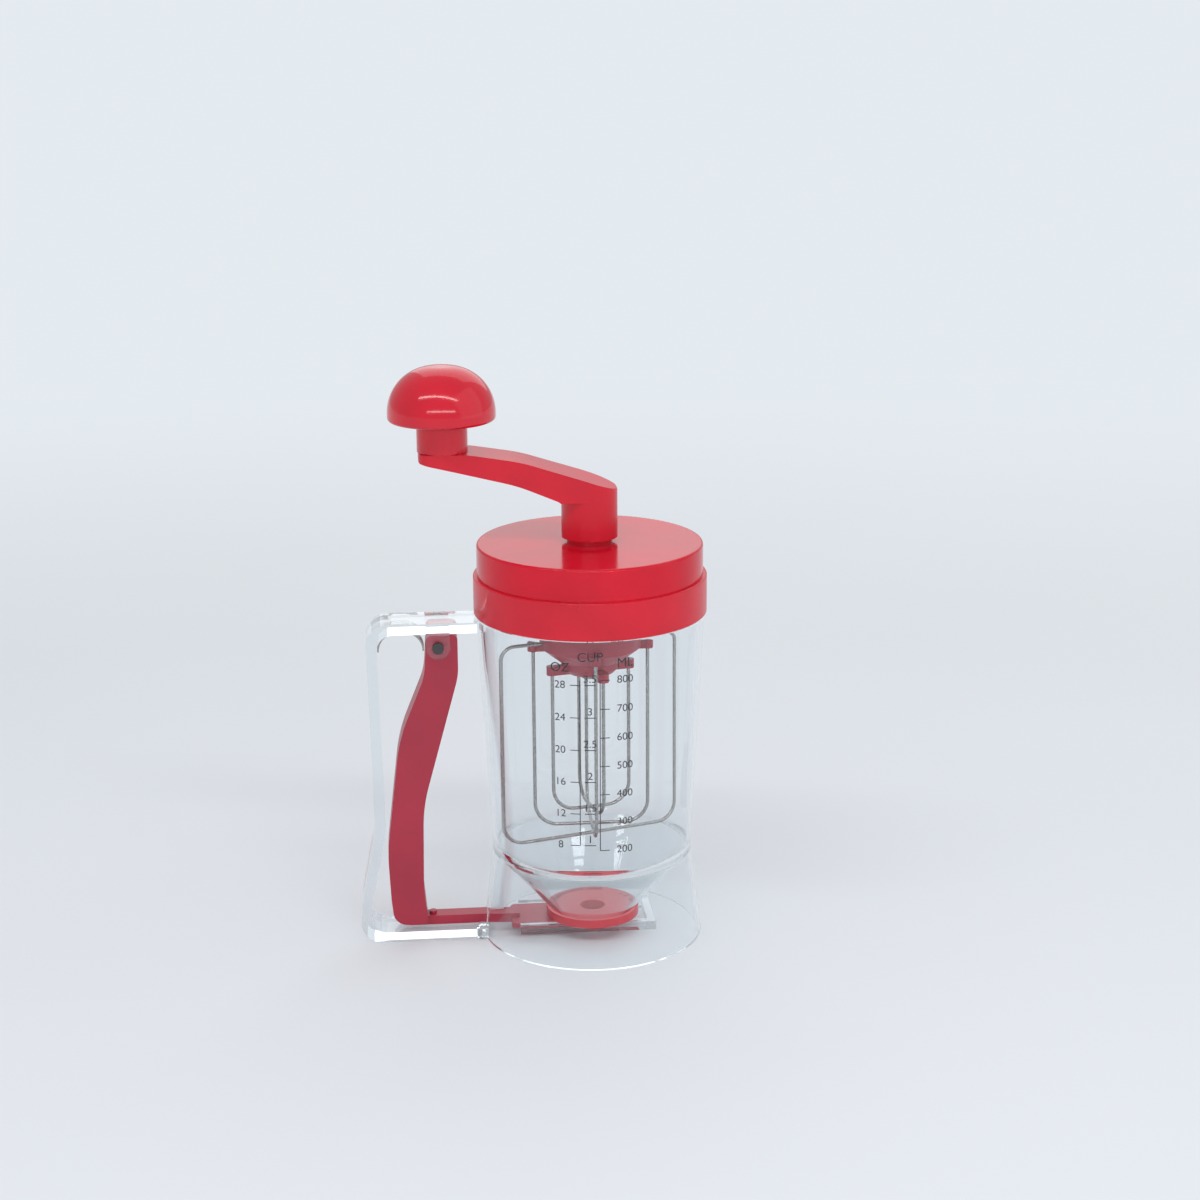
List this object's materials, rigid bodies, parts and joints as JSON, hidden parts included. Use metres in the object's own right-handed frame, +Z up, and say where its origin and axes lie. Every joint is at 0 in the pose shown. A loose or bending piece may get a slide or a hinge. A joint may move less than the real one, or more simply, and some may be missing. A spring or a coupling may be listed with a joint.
{
  "type": "pancake batter dispenser",
  "caption": "Clear hand-held batter jar with a squeeze trigger, a sliding gate under its cone and a lift-off lid whose crank turns two wire whisks.",
  "frame": {"origin": "on the jar's axis, at the base plane that it stands on", "axes": "+Z up along the jar's axis, the handle points towards -X, the printed scale faces -Y"},
  "size_m": [0.1674, 0.11, 0.2788],
  "materials": {
    "clear_plastic": "clear gloss",
    "red_plastic": "satin to gloss",
    "silicone": "soft",
    "steel": "drawn wire and pins",
    "inner_plastic": "moulded"
  },
  "bodies": {
    "jar": {"jar_body": "clear_plastic", "nozzle_plate": "red_plastic", "nozzle_seal": "silicone", "gate_guide": "clear_plastic", "handle_frame": "clear_plastic", "trigger_pin": "steel", "return_spring": "steel"},
    "trigger": {"trigger_lever": "red_plastic"},
    "gate": {"gate_slide": "red_plastic"},
    "lid": {"lid_ring": "red_plastic", "lid_seal": "silicone", "lid_cap": "red_plastic", "lid_floor": "inner_plastic", "gear_plate": "inner_plastic", "shaft_bush": "red_plastic", "planet_pin_1": "steel", "planet_pin_2": "steel", "planet_pin_3": "steel"},
    "crank": {"crank_arm": "red_plastic", "drive_shaft": "steel", "knob_axle": "steel", "sun_gear": "inner_plastic", "inner_whisk_hub": "red_plastic", "inner_whisk_wires": "steel", "whisk_screw": "steel"},
    "knob": {"knob_shank": "red_plastic", "knob_dome": "red_plastic"},
    "outer_whisk": {"ring_gear": "inner_plastic", "outer_whisk_hub": "red_plastic", "outer_whisk_wires": "steel", "scraper_wire": "steel"},
    "planet_1": {"planet_gear_1": "inner_plastic"},
    "planet_2": {"planet_gear_2": "inner_plastic"},
    "planet_3": {"planet_gear_3": "inner_plastic"}
  },
  "joints": [
    {"name": "lid_lift", "type": "slide", "parent": "jar", "child": "lid", "axis": [0, 0, 1], "range_m": [0, 0.14]},
    {"name": "crank_spin", "type": "hinge", "parent": "lid", "child": "crank", "pos_m": [0, 0, 0.2], "axis": [0, 0, 1], "continuous": true},
    {"name": "knob_spin", "type": "hinge", "parent": "crank", "child": "knob", "pos_m": [-0.0678, 0, 0.25], "axis": [0, 0, 1], "continuous": true},
    {"name": "outer_whisk_spin", "type": "hinge", "parent": "lid", "child": "outer_whisk", "pos_m": [0, 0, 0.17], "axis": [0, 0, 1], "continuous": true},
    {"name": "planet_1_spin", "type": "hinge", "parent": "lid", "child": "planet_1", "pos_m": [0.012, 0, 0.183], "axis": [0, 0, 1], "continuous": true},
    {"name": "planet_2_spin", "type": "hinge", "parent": "lid", "child": "planet_2", "pos_m": [-0.006, 0.01039, 0.183], "axis": [0, 0, 1], "continuous": true},
    {"name": "planet_3_spin", "type": "hinge", "parent": "lid", "child": "planet_3", "pos_m": [-0.006, -0.01039, 0.183], "axis": [0, 0, 1], "continuous": true},
    {"name": "trigger_release", "type": "hinge", "parent": "jar", "child": "trigger", "pos_m": [-0.0723, 0, 0.1476], "axis": [0, -1, 0], "range_deg": [0, 5.4], "stiffness_Nm_per_rad": 0.6, "springref_deg": 14.32, "deforming": ["return_spring"]},
    {"name": "gate_close", "type": "slide", "parent": "jar", "child": "gate", "axis": [1, 0, 0], "range_m": [0, 0.013]}
  ],
  "couplings": [
    {"joint": "outer_whisk_spin", "follows": "crank_spin", "ratio": -0.33333},
    {"joint": "planet_1_spin", "follows": "crank_spin", "ratio": -1},
    {"joint": "planet_2_spin", "follows": "crank_spin", "ratio": -1},
    {"joint": "planet_3_spin", "follows": "crank_spin", "ratio": -1},
    {"joint": "gate_close", "follows": "trigger_release", "m_per_rad": 0.1379}
  ]
}
